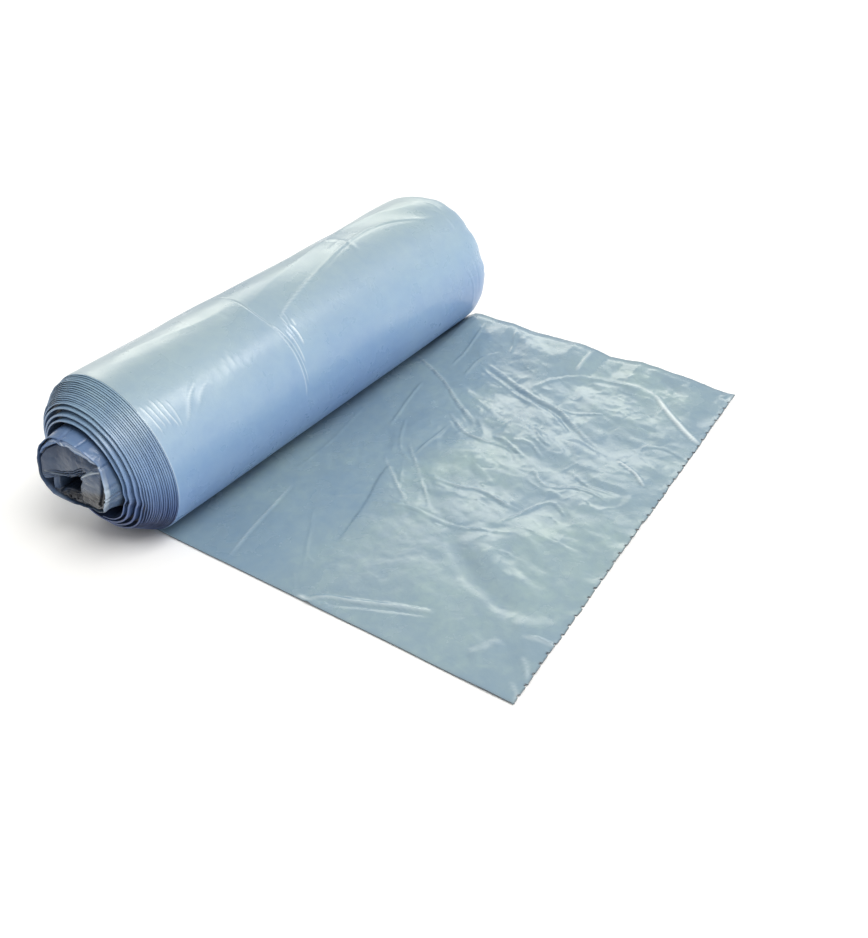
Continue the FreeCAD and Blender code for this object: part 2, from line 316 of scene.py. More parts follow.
        # thin sharp creases, drawn out along the way the film was pulled
        size, turn, amount = crumple
        for share, rate, width in ((0.5, 1.0, 0.035), (0.42, 2.3, 0.05)):
            field = tex(size * rate, 1.5, 0.5, 1.4, ((1.0, 2.1, 1.0), (0, 0, turn)))
            off = nodes.new("ShaderNodeMath")
            off.operation = "SUBTRACT"
            off.inputs[1].default_value = 0.5
            link(nt, field.outputs["Fac"], off.inputs[0])
            side = nodes.new("ShaderNodeMath")
            side.operation = "ABSOLUTE"
            link(nt, off.outputs[0], side.inputs[0])
            line = nodes.new("ShaderNodeMapRange")
            line.inputs["From Min"].default_value = 0.0
            line.inputs["From Max"].default_value = width
            line.inputs["To Min"].default_value = amount
            line.inputs["To Max"].default_value = 0.0
            link(nt, side.outputs[0], line.inputs["Value"])
            fade = tex(size * 0.5, 1.0, 0.5, 0.0)
            mul = nodes.new("ShaderNodeMath")
            mul.operation = "MULTIPLY"
            link(nt, line.outputs["Result"], mul.inputs[0])
            link(nt, fade.outputs["Fac"], mul.inputs[1])
            plus = nodes.new("ShaderNodeMath")
            plus.operation = "ADD"
            link(nt, height, plus.inputs[0])
            link(nt, mul.outputs[0], plus.inputs[1])
            height = plus.outputs[0]
    bp = nodes.new("ShaderNodeBump")
    bp.inputs["Strength"].default_value = bump
    bp.inputs["Distance"].default_value = 0.0006
    link(nt, height, bp.inputs["Height"])
    link(nt, bp.outputs["Normal"], bsdf.inputs["Normal"])

    bsdf.inputs["IOR"].default_value = 1.52
    bsdf.inputs["Specular IOR Level"].default_value = 0.6
    bsdf.inputs["Sheen Weight"].default_value = sheen
    bsdf.inputs["Sheen Roughness"].default_value = 0.4
    bsdf.inputs["Sheen Tint"].default_value = (0.95, 1.0, 0.93, 1.0)
    return m


# the hollow colours are the dark of painted shade; the height ramps are painted light and shade
MAT_SKIN = film("film_roll", (0.251, 0.361, 0.560), (0.284, 0.396, 0.572), (0.219, 0.326, 0.544),
                rough=(0.24, 0.36), bump=0.20, shade_by_height=ROLL_HEIGHT_SHADING)
MAT_TAIL = film("film_loose_end", (0.202, 0.292, 0.361), (0.251, 0.351, 0.383), (0.168, 0.257, 0.350),
                rough=(0.20, 0.30), bump=0.30, grain=260.0, hollow=(0.03, 0.04, 0.055))
MAT_END = film("film_turn_edges", (0.218, 0.352, 0.658), (0.283, 0.423, 0.696), (0.158, 0.268, 0.554),
               rough=(0.28, 0.42), hollow=(0.010, 0.014, 0.030), shade_by_height=END_HEIGHT_SHADING)
MAT_MIDDLE = film("film_middle", (0.112, 0.200, 0.375), (0.165, 0.264, 0.388), (0.072, 0.140, 0.308),
                  rough=(0.24, 0.38), bump=0.4, hollow=(0.005, 0.006, 0.010))


# ------------------------------------------------------------ shape of roll
def bell(a, centre, width):
    """A bump around an angle in degrees."""
    d = (np.asarray(a, float) - centre + 180.0) % 360.0 - 180.0
    return np.exp(-(d / width) ** 2)


def sag(theta, y):
    """How far the soft roll is from round, in mm."""
    along = np.interp(y, [-160, -127, -90, -40, -10, 22, 60, 95, 130],
                      [2.1, 1.9, 1.5, 1.1, 0.3, -0.45, -0.2, 0.6, 0.4])
    return along * bell(theta, -48, 48)


def place(r, theta, y):
    """Radius, angle from the top towards +X in degrees, and Y -> XYZ."""
    t = np.radians(theta)
    x = r * np.sin(t)
    z = ZC + r * np.cos(t)
    # turns near the floor are pressed flat, the inner ones above the outer
    low = 0.03 + np.clip(R - r, 0, 20) * 0.72
    z = np.where(z < low + 0.5, low + 0.5 * np.exp(np.minimum(z - low - 0.5, 0) / 0.5), z)
    return np.stack(np.broadcast_arrays(x, y, z), -1)


RIDGES = [  # round the roll: angle, y; width mm, height mm
    ([(-24, -38), (-2, -37), (15, -38), (33, -37), (52, -35.4), (63, -35), (81, -35.5), (94, -37)], 0.8, -0.30, "ridge"),
    ([(34, -36.0), (52, -34.2), (70, -33.9), (86, -34.6)], 0.75, 0.36, "ridge"),
    ([(44, -32.4), (59, -32.6), (75, -33.4)], 0.7, -0.26, "ridge"),
    ([(46, -31.2), (59, -31.4), (71, -32)], 0.7, 0.34, "ridge"),
    ([(42, -27), (50, -26.6), (60, -27.4)], 0.8, 0.40, "ridge"),
    ([(30, -25), (36, -25.5), (42, -27)], 0.7, 0.28, "ridge"),
    ([(36, -29.6), (50, -29.2), (62, -29.8)], 0.8, 0.22, "ridge"),
    ([(0, -50), (11, -50.4), (23, -50)], 0.8, -0.26, "ridge"),
    ([(2, -47.5), (14, -47.6), (26, -47)], 0.7, -0.12, "ridge"),
    ([(36, -124.2), (47, -123.4), (60, -122.8)], 0.7, 0.34, "ridge"),
    ([(38, -121.0), (48, -120.4), (57, -119.9)], 0.7, 0.32, "ridge"),
    ([(35, -117.9), (46, -117.6), (58, -117)], 0.7, 0.34, "ridge"),
    ([(38, -115.0), (50, -114.8), (62, -113.8)], 0.75, 0.36, "ridge"),
    ([(42, -111.9), (51, -111.6), (61, -112.2)], 0.7, 0.26, "ridge"),
    ([(40, -92), (47, -100), (55, -105), (62, -110)], 1.3, 0.34, "ridge"),
    ([(44, -86), (50, -95), (56, -99)], 1.4, 0.26, "ridge"),
    ([(50, -90), (54, -97), (60, -103)], 1.2, 0.20, "ridge"),
    ([(33, -68), (41, -69.5), (49, -70)], 1.1, 0.22, "ridge"),
    ([(36, -73), (44, -74), (50, -74)], 1.1, 0.20, "ridge"),
    ([(40, -64), (46, -65.5), (52, -65)], 1.1, 0.16, "ridge"),
    ([(46, -60), (50, -60.5), (54, -60)], 1.2, 0.18, "ridge"),
    ([(38, -82), (44, -85), (50, -86)], 1.2, 0.20, "ridge"),
    ([(34, -78), (42, -79.5), (52, -80)], 1.2, 0.16, "ridge"),
    ([(36, -35), (25, -11), (16, 17), (7, 42), (4, 67), (10, 84), (24, 101)], 1.5, 0.38, "ridge"),
    ([(40, -30), (28, -8), (18, 16), (9, 42), (5.5, 66), (12, 84), (26, 100)], 2.2, -0.30, "ridge"),
    ([(-18, 46), (-6, 49), (8, 48), (20, 45)], 2.0, 0.40, "ridge"),
    ([(3, 36), (-1, 42), (-3, 49)], 1.6, 0.30, "ridge"),
    ([(10, 116), (18, 117.5), (28, 117)], 1.3, 0.30, "ridge"),
    ([(20, 112), (34, 114.5), (46, 114)], 1.2, 0.20, "ridge"),
    ([(74, 106), (88, 111), (104, 113), (116, 114)], 1.3, 0.26, "ridge"),
    ([(66, 114), (84, 117), (104, 118)], 1.3, -0.22, "ridge"),
    ([(56, 108), (64, 113), (70, 120)], 1.4, 0.26, "ridge"),
    ([(-30, -70), (-22, -30), (-18, 4), (-24, 30)], 5.0, 0.35, "ridge"),
    ([(-40, 20), (-26, 52), (-12, 84), (-8, 112)], 5.0, 0.30, "ridge"),
    ([(-12, -110), (-4, -84), (4, -60), (2, -40)], 4.0, 0.22, "ridge"),
    ([(-110, -90), (-90, -60), (-72, -20), (-70, 30)], 3.0, 0.45, "ridge"),
    ([(-130, 60), (-100, 40), (-80, 44), (-58, 60)], 2.4, 0.42, "ridge"),
    ([(-150, -30), (-124, -16), (-100, -20)], 2.6, 0.40, "ridge"),
    ([(-104, -60), (-84, -44), (-60, -38)], 2.2, 0.36, "ridge"),
    ([(-120, 90), (-98, 80), (-76, 84)], 2.2, 0.36, "ridge"),
    ([(-96, -36.4), (-70, -35.6), (-46, -36.4)], 0.8, 0.30, "ridge"),
    ([(-120, -113), (-96, -114), (-70, -113)], 0.8, 0.30, "ridge"),
    ([(-100, -118), (-84, -118), (-60, -119)], 0.8, 0.28, "ridge"),
    ([(-86, 84), (-66, 96), (-52, 110)], 2.0, 0.30, "ridge"),
]


GLINTS = [  # round the roll: angle, y; half width mm, strength
    ([(33, -37.5), (52, -35.9), (63, -35.5), (81, -36.0), (92, -37.3)], 0.7, 0.42),
    ([(38, -35.6), (52, -33.9), (70, -33.6), (84, -34.3)], 0.6, 0.34),
    ([(46, -31.2), (59, -31.4), (69, -32)], 0.6, 0.55),
    ([(42, -27), (50, -26.6), (58, -27.3)], 0.7, 0.70),
    ([(39, -24.2), (45, -24.8)], 0.7, 0.65),
    ([(34, -28.6), (42, -28.9)], 0.6, 0.45),
    ([(-24, -37.4), (-2, -36.4), (15, -37.4), (33, -36.4)], 0.5, 0.25),
    ([(37, -124.2), (47, -123.4), (58, -122.8)], 0.55, 0.60),
    ([(39, -121.0), (48, -120.4), (56, -119.9)], 0.55, 0.50),
    ([(38, -117.9), (46, -117.6), (57, -117)], 0.6, 0.62),
    ([(40, -115.0), (50, -114.8), (60, -113.8)], 0.65, 0.60),
    ([(43, -111.9), (51, -111.6), (60, -112.2)], 0.6, 0.45),
    ([(42, -93.5), (47, -100), (55, -105), (60, -108.5)], 1.0, 0.26),
    ([(45, -87.5), (50, -95), (55, -98)], 1.0, 0.22),
    ([(34, -68.2), (41, -69.5), (48, -70)], 0.9, 0.22),
    ([(37, -73.1), (44, -74), (49, -74)], 0.9, 0.18),
    ([(34, -29), (28, -18), (22, -2), (16, 15)], 0.9, 0.30),
    ([(6, 49), (12, 74), (22, 96)], 0.9, 0.20),
    ([(11, 116.2), (18, 117.5), (27, 117)], 0.9, 0.30),
]


FOLD_Y = [-62, -35, -11, 17, 45, 67, 84, 100, 120]
FOLD_THETA = [46, 36, 25, 16, 7, 4, 10, 24, 34]


def skin_radius(theta, y):
    """Outer film of the roll, theta from -180 to 180."""
    s = np.radians(theta) * R
    turn = (theta + 180.0) / 360.0
    r = R + 0.16 * noise(turn * 5, y / 62.0, 11, 5) + 0.10 * noise(turn * 9, y / 24.0, 12, 9)
    r = r + sag(theta, y)
    # above the long diagonal fold the film is pulled flat
    h = 11.5
    mid = np.interp(y, FOLD_Y, FOLD_THETA) - h
    q = np.clip((theta - mid) / h, -1, 1)
    taut = smooth((y + 50.0) / 16.0) * smooth((116.0 - y) / 16.0)
    r = r - 0.86 * taut * R * (1 - math.cos(math.radians(h))) * (1 - q * q)
    slack = smooth((30.0 - theta) / 40.0) * smooth((theta + 175.0) / 30.0)
    near_end = smooth((-52.0 - y) / 40.0) * smooth((50 - np.abs(theta - 44)) / 24.0)
    far_end = smooth((y - 92.0) / 26.0)
    r = r + (0.05 + 0.34 * slack + 0.22 * far_end) * facets(turn * 9, y / 46.0, 21, 9) \
          + (0.02 + 0.07 * slack + 0.07 * near_end + 0.12 * far_end) * facets(turn * 22, y / 15.0, 25, 22) \
          + (0.012 + 0.045 * near_end + 0.035 * far_end) * facets(turn * 48, y / 7.0, 28, 48)
    for points, width, high, kind in RIDGES:
        line = [(math.radians(a) * R, b) for a, b in points]
        r = r + crease(s, y, line, width, high, kind)
    # the film's edges draw in at both ends, more at the far one
    far = np.clip((y - (HALF - 13.0)) / 13.0, 0, 1)
    r = r - 2.5 * far ** 2.6 * (1 - 0.92 * bell(theta, 165, 48)) * (
        1 + 0.40 * noise(turn * 11, 0.5, 31, 11) + 0.25 * facets(turn * 26, 0.5 + 0 * turn, 32, 26))
    r = r - 0.9 * far ** 1.4 * bell(theta, 50, 5.0) - 0.6 * far ** 1.4 * bell(theta, 76, 6.0)
    near = np.clip((-(HALF - 2.2) - y) / 2.2, 0, 1)
    r = r - 0.16 * near ** 2 * (1 + 0.6 * noise(turn * 20, 0.2, 33, 20))
    return r


def make_skin():
    nt = 272
    theta = np.linspace(-180, 180, nt, endpoint=False)[:, None]
    # rows lie closer where the film is finely creased
    marks = np.concatenate([np.arange(-127, -108, 0.40), np.arange(-108, -92, 0.9),
                            np.arange(-92, -41, 1.25), np.arange(-41, -24, 0.34),
                            np.arange(-24, 100, 1.25), np.arange(100, 127.01, 0.62)])
    t = (marks + HALF) / (2 * HALF)
    t = t / t[-1]
    edge = HALF + 0.35 * noise((theta + 180) / 360 * 12, 0.3, 41, 12) \
        - 0.5 * bell(theta, 50, 4.5) - 0.3 * bell(theta, 77, 5.0)
    y = -HALF + (edge + HALF) * t[None, :]
    theta = np.broadcast_to(theta, y.shape)
    p = place(skin_radius(theta, y), theta, y)
    arc = np.radians(theta) * R
    # painted glints along the creases
    pale = sum(crease(arc, y, [(math.radians(a) * R, b) for a, b in points], width, high, "soft")
               for points, width, high in GLINTS)
    # painted highlight along the near rim of the outer turn
    pale = pale + 0.30 * smooth((-(HALF - 0.55) - y) / 0.4) * smooth((theta + 60) / 30.0) \
        * smooth((118 - theta) / 20.0)
    # painted highlight: the crown of the roll is painted paler, in long uneven patches
    crown_highlight = bell(theta, -9, 16) * (0.80 + 0.30 * noise(y / 34.0, theta / 30.0, 45))
    pale = pale + crown_highlight * np.interp(y, [-127, -90, -60, -38, 20, 60, 112],
                                    [0.46, 0.44, 0.34, 0.08, 0.06, 0.18, 0.30])
    pale = np.clip(np.pad(pale, ((0, 0), (3, 3)), mode="edge"), 0, 1)

    # the film turns in over both edges, so its thickness shows
    def lip(row, dr, dy):
        th = theta[:, row]
        rr = skin_radius(th[:, None], y[:, row][:, None])[:, 0]
        return place(rr - dr, th, y[:, row] + dy)[:, None, :]
    p = np.concatenate([lip(0, 0.55, 0.5), lip(0, 0.28, -0.05), lip(0, 0.06, -0.10), p,
                        lip(-1, 0.10, 0.10), lip(-1, 0.45, 0.04), lip(-1, 0.8, -1.6)], 1)
    return grid("outer_turn", p, close_u=True, pale=pale)


# ------------------------------------------- edges of the turns at each end
def spiral_tables(seed):
    """Radius, travel, lip and gap of the wound film for each turn number."""
    rng = np.random.RandomState(seed)
    k = np.arange(0, TURNS + 1)
    jit = rng.uniform(-0.09, 0.09, TURNS + 1)
    jit[0] = jit[-1] = 0
    r = R - (R - R_STAIR) * k / TURNS + jit
    p = P_STAIR * (k / TURNS) + rng.uniform(-0.22, 0.22, TURNS + 1) * (k > 0)
    r = np.concatenate([r, [31.0, 28.2, 25.8]])
    p = np.concatenate([p, [15.2, 17.0, 17.6]])
    lip = np.concatenate([rng.uniform(0.24, 0.34, TURNS), [0.9, 1.0, 0.95, 0.6]])
    gap = np.concatenate([rng.uniform(1.0, 1.9, TURNS), [8.0, 9.0, 11.0, 11.0]])
    gap[[3, 7, 11]] = (2.6, 2.4, 2.8)
    return r, p, lip, gap


def ring_warp(k, theta):
    """Loose inner turns are not round: they sag and kink at lower right."""
    loose = smooth((k - 12.5) / 4.0)
    t = np.radians(theta)
    turn = (theta % 360) / 360.0
    return loose * (0.45 * np.cos(2 * t - 0.6) - 1.7 * bell(theta, 118, 13) - 0.9 * bell(theta, 98, 9)
                    + 0.7 * bell(theta, 108, 8) + 0.35 * noise(turn * 7, k * 0.7, 55, 7)) \
        + 0.07 * noise(turn * 26, k * 1.3, 56, 26) + 0.05 * noise(turn * 60, k * 2.1, 57, 60)


def make_end(name, sign, seed):
    """sign -1: the stepped near end; +1: the sunken far end."""
    n = 320 if sign < 0 else 260
    r, p, lip, gap = spiral_tables(seed)
    count = len(r) - 1
    phi = np.linspace(0, 1, n + 1)
    theta = 180.0 + 360.0 * phi
    rows, tone = [], []
    for m in range(count):
        k = m + phi
        turns = np.arange(len(r))
        rk = np.interp(k, turns, r)
        pk = np.interp(k, turns, p)
        tk = np.interp(k, turns, lip)
        gk = np.interp(k, turns, gap)
        if m >= TURNS - 1:
            # the film goes from tight turns to loose ones over part of a turn
            base = np.interp(k, [TURNS - 1, TURNS - 0.35, TURNS + 0.2, TURNS + 1],
                             [gap[TURNS - 1], 3.0, 7.5, 8.5])
            gk = np.where(k < TURNS + 1, base, gk)
        prev = np.interp(k - 1, turns, p)
        back = np.interp(k - 1, turns, gap)
        deep = smooth(k / 5.0)
        if sign < 0:
            rk = rk + sag(theta, -HALF) * (1 - 0.35 * k / TURNS) \
                + 2.3 * deep * bell(theta, -70, 46) * (1 - 0.5 * smooth((k - 12) / 6.0))
            pk = pk + 1.2 * deep * bell(theta, -75, 46)
            prev = prev + 1.2 * smooth((k - 1) / 5.0) * bell(theta, -75, 46)
        else:
            rk = rk - 2.6 * np.clip(1 - k / 3.0, 0, 1) - 0.5 * np.clip(1 - k / 9.0, 0, 1)
        rk = rk + ring_warp(k, theta)
        pk = pk + 0.20 * noise(phi * 9 + m * 9, k * 0.37, seed + 5) \
                + 0.08 * noise(phi * 31 + m * 31, k * 0.9, seed + 6) * (k > 0.2)
        pk = pk - 0.9 * bell(theta, 118, 14) * smooth((k - 14) / 2.0)
        if sign < 0:
            first = k < 1
            wide = smooth((k - 15.0) / 1.5)
            # each row: radius, travel and its painted light share; the gaps between turns are painted dark as shade
            out = [(rk, np.where(first, -0.3, prev - 0.75 * back), 0.12 + 0.16 * wide),
                   (rk, np.where(first, -0.1, prev - 0.1), 0.62 + 0.14 * wide),
                   (rk, pk - 0.12, 0.95), (rk - 0.06, pk, 1.25), (rk - tk + 0.06, pk, 1.15),
                   (rk - tk, pk - 0.14, 0.55), (rk - tk, pk - gk, 0.0)]
            y = [-HALF - q for _, q, _ in out]
        else:
            # seen from behind each turn ends a little deeper than the last
            if m == count - 1:
                pk = pk + 7.0 * smooth((phi - 0.5) / 0.5)
            # each row: radius, travel and its painted light share, dark in the gaps as painted shade
            out = [(rk, pk + 0.14, 0.7), (rk - 0.06, pk, 1.1), (rk - tk + 0.06, pk, 1.05),
                   (rk - tk, pk + 0.14, 0.6), (rk - tk, pk + 0.3 + 0.6 * gk, 0.1),
                   (rk - tk - 0.02, pk + 0.3 + 0.6 * gk, 0.1)]
            y = [HALF - q for _, q, _ in out]
        # painted shade: the lower turns are darker
        low = 1 - 0.42 * bell(theta, 160, 62) if sign < 0 else 1 - 0.25 * bell(theta, 180, 60)
        for (rr, _, light), yy in zip(out, y):
            rows.append(place(rr, theta, yy))
            tone.append(light * low)
    return grid(name, np.array(rows), flip=sign > 0, merge=0.004, shade=np.array(tone))


# ------------------------------------------------------------ crumpled core
def sd_polygon(x, z, poly):
    """Signed distance to a closed outline, below 0 inside."""
    poly = np.array(poly, float)
    best = np.full(x.shape, 1e9)
    inside = np.zeros(x.shape, bool)
    n = len(poly)
    for i in range(n):
        a, b = poly[i], poly[(i + 1) % n]
        ab = b - a
        t = np.clip(((x - a[0]) * ab[0] + (z - a[1]) * ab[1]) / (ab @ ab), 0, 1)
        best = np.minimum(best, np.hypot(x - a[0] - t * ab[0], z - a[1] - t * ab[1]))
        cross = ((a[1] > z) != (b[1] > z)) & (
            x < (b[0] - a[0]) * (z - a[1]) / (b[1] - a[1] + 1e-12) + a[0])
        inside ^= cross
    return np.where(inside, -best, best)


# rim of the middle turns: angle, travel, radius
RIM = [(-180, 21.5, 19.4), (-157, 22.5, 20.6), (-139, 25.4, 21.8), (-123, 28.0, 22.6),
       (-100, 29.2, 23.2), (-70, 28.8, 23.4), (-50, 27.4, 23.3), (-23, 25.4, 23.0),
       (5, 24.6, 22.8), (31, 24.0, 22.8), (53, 22.6, 22.9), (74, 24.2, 23.0),
       (93, 26.2, 22.7), (112, 26.6, 21.2), (140, 23.6, 19.4), (180, 21.5, 19.4)]

HOLE = [(-15.2, -3.2), (-11.6, -1.2), (-6.0, -1.4), (1.2, 2.6), (3.4, 1.4), (0.6, -2.8),
        (-2.4, -8.6), (-7.2, -10.8), (-11.5, -10.4), (-14.5, -10.8), (-18.2, -12.0), (-17.0, -8.0)]
POCKET = [(-22.6, -4.6), (-16.9, -3.2), (-18.6, -8.0), (-19.9, -11.8), (-21.6, -11.4), (-23.4, -8.2)]
FLAP_LOW = [(-25, 0.9), (-22.5, -1.9), (-15.4, -0.7), (-8.6, -0.2), (-3.0, 1.6), (1.5, 4.1),
            (9.5, 7.6), (19, 12.4), (26, 15)]
FLAP_UP = [(-26, 4.0), (-21.5, 8.0), (-17.2, 13.6), (-8.9, 17.8), (-1.4, 17.8), (1.9, 16.9),
           (10.5, 14.6), (18, 12.9), (26, 15.5)]
EDGE_HIGHLIGHTS = [  # painted highlights along folded edges in the mouth: points; half width, strength
    ([(-1.2, 18.9), (2.4, 18.0), (7.0, 17.0), (11.0, 16.1), (16.0, 14.2), (18.9, 12.6)], 0.75, 0.50),
    ([(-4.2, 19.6), (-3.2, 17.9), (-2.6, 16.6)], 0.8, 0.75),
    ([(-12.5, 18.4), (-9.6, 19.0), (-6.0, 19.0)], 0.7, 0.25),
    ([(6.4, 4.6), (8.6, 5.9), (11.9, 7.7), (16.4, 8.6)], 0.75, 0.60),
    ([(-20.5, 0.4), (-15.0, -0.4), (-9.0, 0.0), (-3.0, 1.2)], 0.55, 0.22),
    ([(14.0, 12.8), (17.0, 10.9)], 0.8, 0.35),
]
SEAM = [(18.6, 13.4), (19.5, 11.0), (19.0, 8.0), (18.2, 5.1), (17.2, 0.4), (15.0, -4.9), (11.6, -10.0), (9.0, -13.0)]
FACET = [(5.6, 4.6), (9.4, 6.9), (13.0, 8.4), (19.0, 11.0), (22.4, 6.0), (20.6, -3.0), (15.0, -8.6),
         (6.7, -9.8), (-0.3, -10.2), (-1.0, -7.4), (2.4, -1.2)]


def line_distance(x, z, points):
    best = np.full(np.shape(x), 1e9)
    for a, b in zip(np.array(points[:-1], float), np.array(points[1:], float)):
        ab = b - a
        t = np.clip(((x - a[0]) * ab[0] + (z - a[1]) * ab[1]) / (ab @ ab), 0, 1)
        best = np.minimum(best, np.hypot(x - a[0] - t * ab[0], z - a[1] - t * ab[1]))
    return best


def closure(x, z):
    """How far the folded middle stands out, and the share of painted light and shade on it."""
    base = 24.5 - 0.057 * x + 0.057 * z + 0.0056 * x * x - 0.0035 * z * z \
        - 2.4 * np.exp(-((x - 17) ** 2 + (z - 13) ** 2) / 50.0)
    light = np.ones(x.shape)
    low = np.interp(x, [q[0] for q in FLAP_LOW], [q[1] for q in FLAP_LOW])
    top = np.interp(x, [q[0] for q in FLAP_UP], [q[1] for q in FLAP_UP])
    up = np.clip((z - low) / np.maximum(top - low, 0.5), 0, 1)
    # the shelf under the hollow, the flap that hangs over it, the band above
    rec = 1.3 + 0.35 * noise(x / 3.0, z / 3.0, 66)
    over = smooth((z - low + 0.2) / 0.4)
    flap = 1.0 + 4.6 * up ** 1.25 - 0.8 * np.sin(np.pi * up) * np.exp(-((x + 4) / 9.0) ** 2)
    rec = rec * (1 - over) + flap * over
    light = light * (1 - 0.30 * over)
    band = smooth((z - top + 0.2) / 0.4)
    rec = rec * (1 - band) + (0.7 + 0.5 * facets(x / 4.0, z / 2.5, 67)) * band
    light = light * (1 - band) + 1.2 * band
    # the flap tucks in under the band: a sunk line, painted dark as shade
    tuck = np.abs(z - top + 0.55)
    rec = rec + 2.2 * smooth(1 - tuck / 0.7) * smooth((x + 23) / 3.0) * smooth((17 - x) / 3.0)
    light = light * (1 - 0.9 * smooth(1 - tuck / 0.8))
    # stacked edges of film along the flap's lower edge: painted highlight on the edges, painted shade in the gaps
    for shift, high, tone in ((0.45, 0.9, 0.55), (-0.55, 0.5, 0.35), (-1.35, 0.8, 0.5), (1.5, 0.3, 0.2)):
        d = np.abs(z - low - shift - 0.45 * noise(x / 3.6, shift, 61) - 0.2 * noise(x / 1.5, shift, 68))
        w = np.clip(1 - d / 0.40, 0, 1) * smooth((x + 24) / 4) * smooth((8 - x) / 5)
        rec = rec - high * w
        light = light + tone * w
        gap = np.clip(1 - np.abs(d - 0.55) / 0.25, 0, 1) * smooth((x + 24) / 4) * smooth((8 - x) / 5)
        rec = rec + 0.9 * gap
        light = light * (1 - 0.6 * gap)
    # right-hand fold: rounded, leaning back to the rim behind a sunk line; painted shade low down and on that line,
    # painted highlight just inside its edge
    f = sd_polygon(x, z, FACET)
    on = smooth((0.3 - f) / 0.6)
    lean = 0.2 + 1.9 * smooth((x - 6.0) / 15.0) + 0.22 * facets(x / 3.5, z / 4.0, 69)
    lean = lean - 0.9 * np.clip(1 - np.abs(f + 0.6) / 0.55, 0, 1) * smooth((z - 0.5) / 3.0)
    rec = rec * (1 - on) + lean * on
    light = light * (1 - on) + (0.86 - 0.30 * smooth((1.0 - z) / 9.0)) * on
    light = light + 0.5 * np.clip(1 - np.abs(f + 0.6) / 0.6, 0, 1) * smooth((z - 1.0) / 2.0)
    edge = np.clip(1 - np.abs(f - 0.5) / 0.5, 0, 1) * smooth((9 - x) / 4.0)
    rec = rec + 2.0 * edge
    light = light * (1 - 0.85 * edge)
    # pocket and hollow, sunk and painted dark as shade
    pocket = sd_polygon(x, z, POCKET)
    inn = smooth((-pocket + 0.1) / 0.5)
    rec = rec + 5.0 * inn
    light = light * (1 - 0.55 * inn) * (1 - 0.7 * smooth(1 - np.abs(pocket + 0.5) / 0.7))
    hole = sd_polygon(x, z, HOLE)
    rec = rec + 46.0 * smooth((-hole - 0.1) / 0.9) + 1.2 * smooth((0.8 - hole) / 0.8)
    light = light * (1 - 0.97 * smooth((-hole + 0.5) / 1.3))
    # small curls of film at the foot of the hollow, with painted shade in their middles and a painted highlight on each
    # ring
    for cx, cz, size in ((-11.8, -13.6, 1.7), (-6.4, -13.4, 1.2), (-16.4, -14.0, 1.1)):
        d = np.hypot(x - cx, z - cz)
        ring = np.exp(-((d - size) / 0.42) ** 2)
        core_ = np.exp(-(d / (0.6 * size)) ** 2)
        rec = rec - 1.3 * ring + 1.8 * core_
        light = light * (1 - 0.85 * core_) * (1 - 0.6 * np.exp(-((d - size - 0.9) / 0.4) ** 2)) + 0.3 * ring
    # darker towards the bottom, where no light gets in
    light = light * (1 - 0.93 * smooth((-7.2 - z + 0.25 * (x + 8)) / 4.5))
    # the left side stands out as far as the rim does
    rec = rec * (1 - 0.75 * smooth((-x - 12.0) / 8.0) * smooth((hole - 0.5) / 1.0) * (1 - inn))
    # deep line between the right-hand fold and the rim, painted dark as shade
    line = smooth(1.25 * (1 - line_distance(x, z, SEAM) / 1.25))
    beyond = smooth((x - 0.30 * z - 16.6) / 1.5) * smooth((12.5 - z) / 2.0)
    rec = rec + 1.6 * line + 2.5 * beyond
    light = light * (1 - 0.90 * line) * (1 - 0.8 * beyond)
    # painted shade over the whole mouth, less on the band above the flap
    light = light * (0.45 + 0.51 * band * (1 - on))
    rec = rec + 0.45 * facets(x / 6.5 + 3, z / 4.4 + 5, 63) + 0.16 * facets(x / 2.6, z / 2.2, 64)
    return base - rec, np.clip(light, 0, 1.5)


